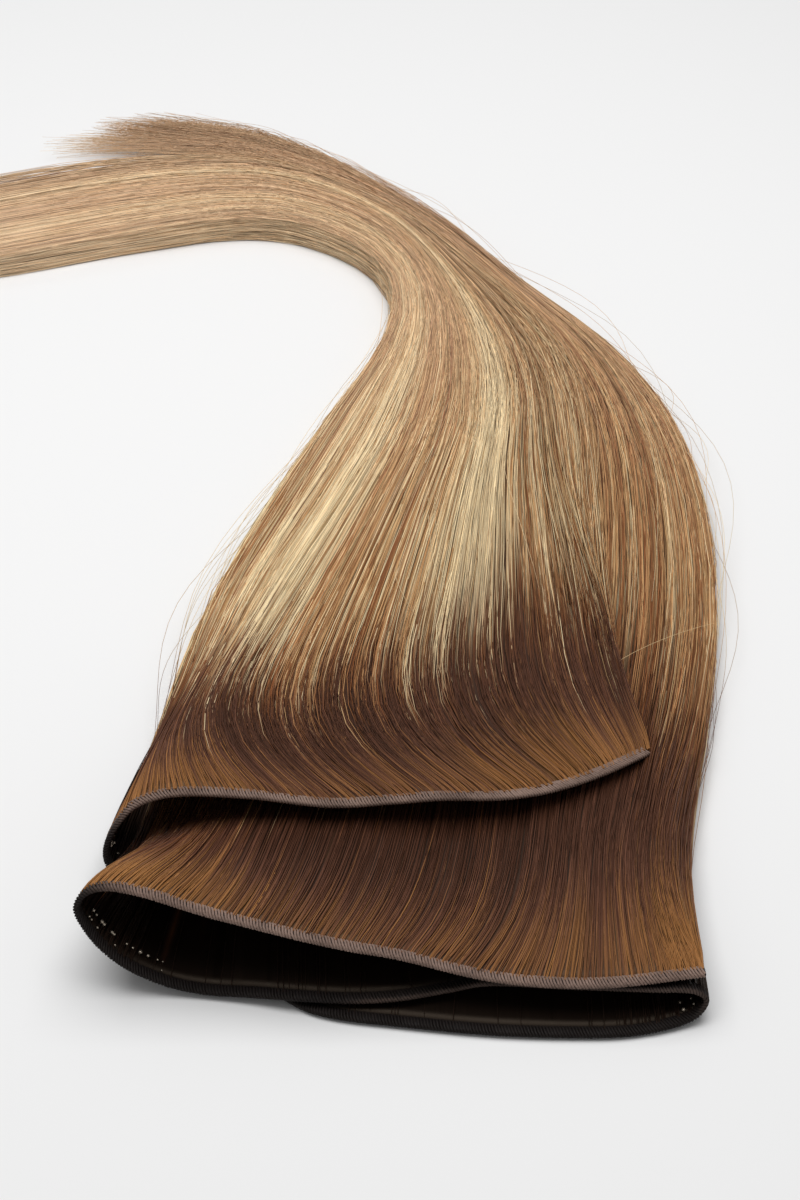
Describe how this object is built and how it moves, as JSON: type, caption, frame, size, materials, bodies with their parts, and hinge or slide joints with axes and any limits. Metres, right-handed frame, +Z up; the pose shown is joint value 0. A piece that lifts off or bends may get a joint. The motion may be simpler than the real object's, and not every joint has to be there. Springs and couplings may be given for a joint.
{
  "type": "hair weft",
  "caption": "Long straight hair weft: a thin stitched band folded to and fro, with hair shaded from brown roots to blonde lengths lying in a curved sweep.",
  "frame": {"origin": "middle of the whole outline in plan, on the surface that the hair lies on", "axes": "+Y from the folded band towards the back of the sweep, +X to the right as seen from the band, +Z up"},
  "size_m": [0.2963, 0.4036, 0.0245],
  "materials": {
    "band": "matt taupe stitched band",
    "hair": "silky hair, brown at the roots and blonde below"
  },
  "bodies": {
    "root": {"weft_band": "band", "hair_top_run": "hair", "hair_front_run": "hair", "hair_inner_run": "hair", "hair_floor_run": "hair"}
  },
  "joints": []
}
